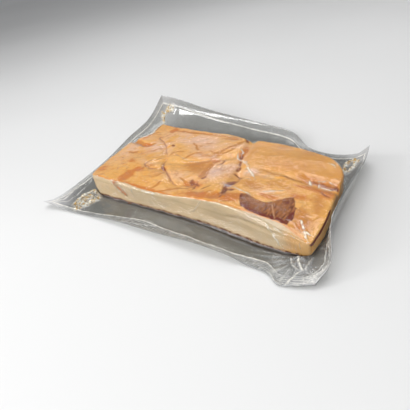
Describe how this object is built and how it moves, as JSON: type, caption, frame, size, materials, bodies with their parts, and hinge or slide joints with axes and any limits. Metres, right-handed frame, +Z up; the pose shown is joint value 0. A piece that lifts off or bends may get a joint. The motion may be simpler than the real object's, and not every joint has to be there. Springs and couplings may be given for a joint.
{
  "type": "vacuum-packed smoked pork fatback",
  "caption": "Slab of smoked pork fatback in a clear vacuum pouch, with a wide sealed margin that curls up at its corners.",
  "frame": {"origin": "middle of the pouch's outline, on the surface that the slab lies on", "axes": "+X along the slab to the end that stands clear of its curled margin, +Y to the back, where the margin stands highest, +Z up"},
  "size_m": [0.4119, 0.285, 0.0574],
  "materials": {
    "smoked_fat": "orange-gold smoked surface, ivory cut fat and a patch of red-brown lean, wet-looking under the film",
    "clear_film": "clear glossy laminated film, whitish along its seals and folds"
  },
  "bodies": {
    "root": {"vacuum_pack": "smoked_fat"}
  },
  "joints": []
}
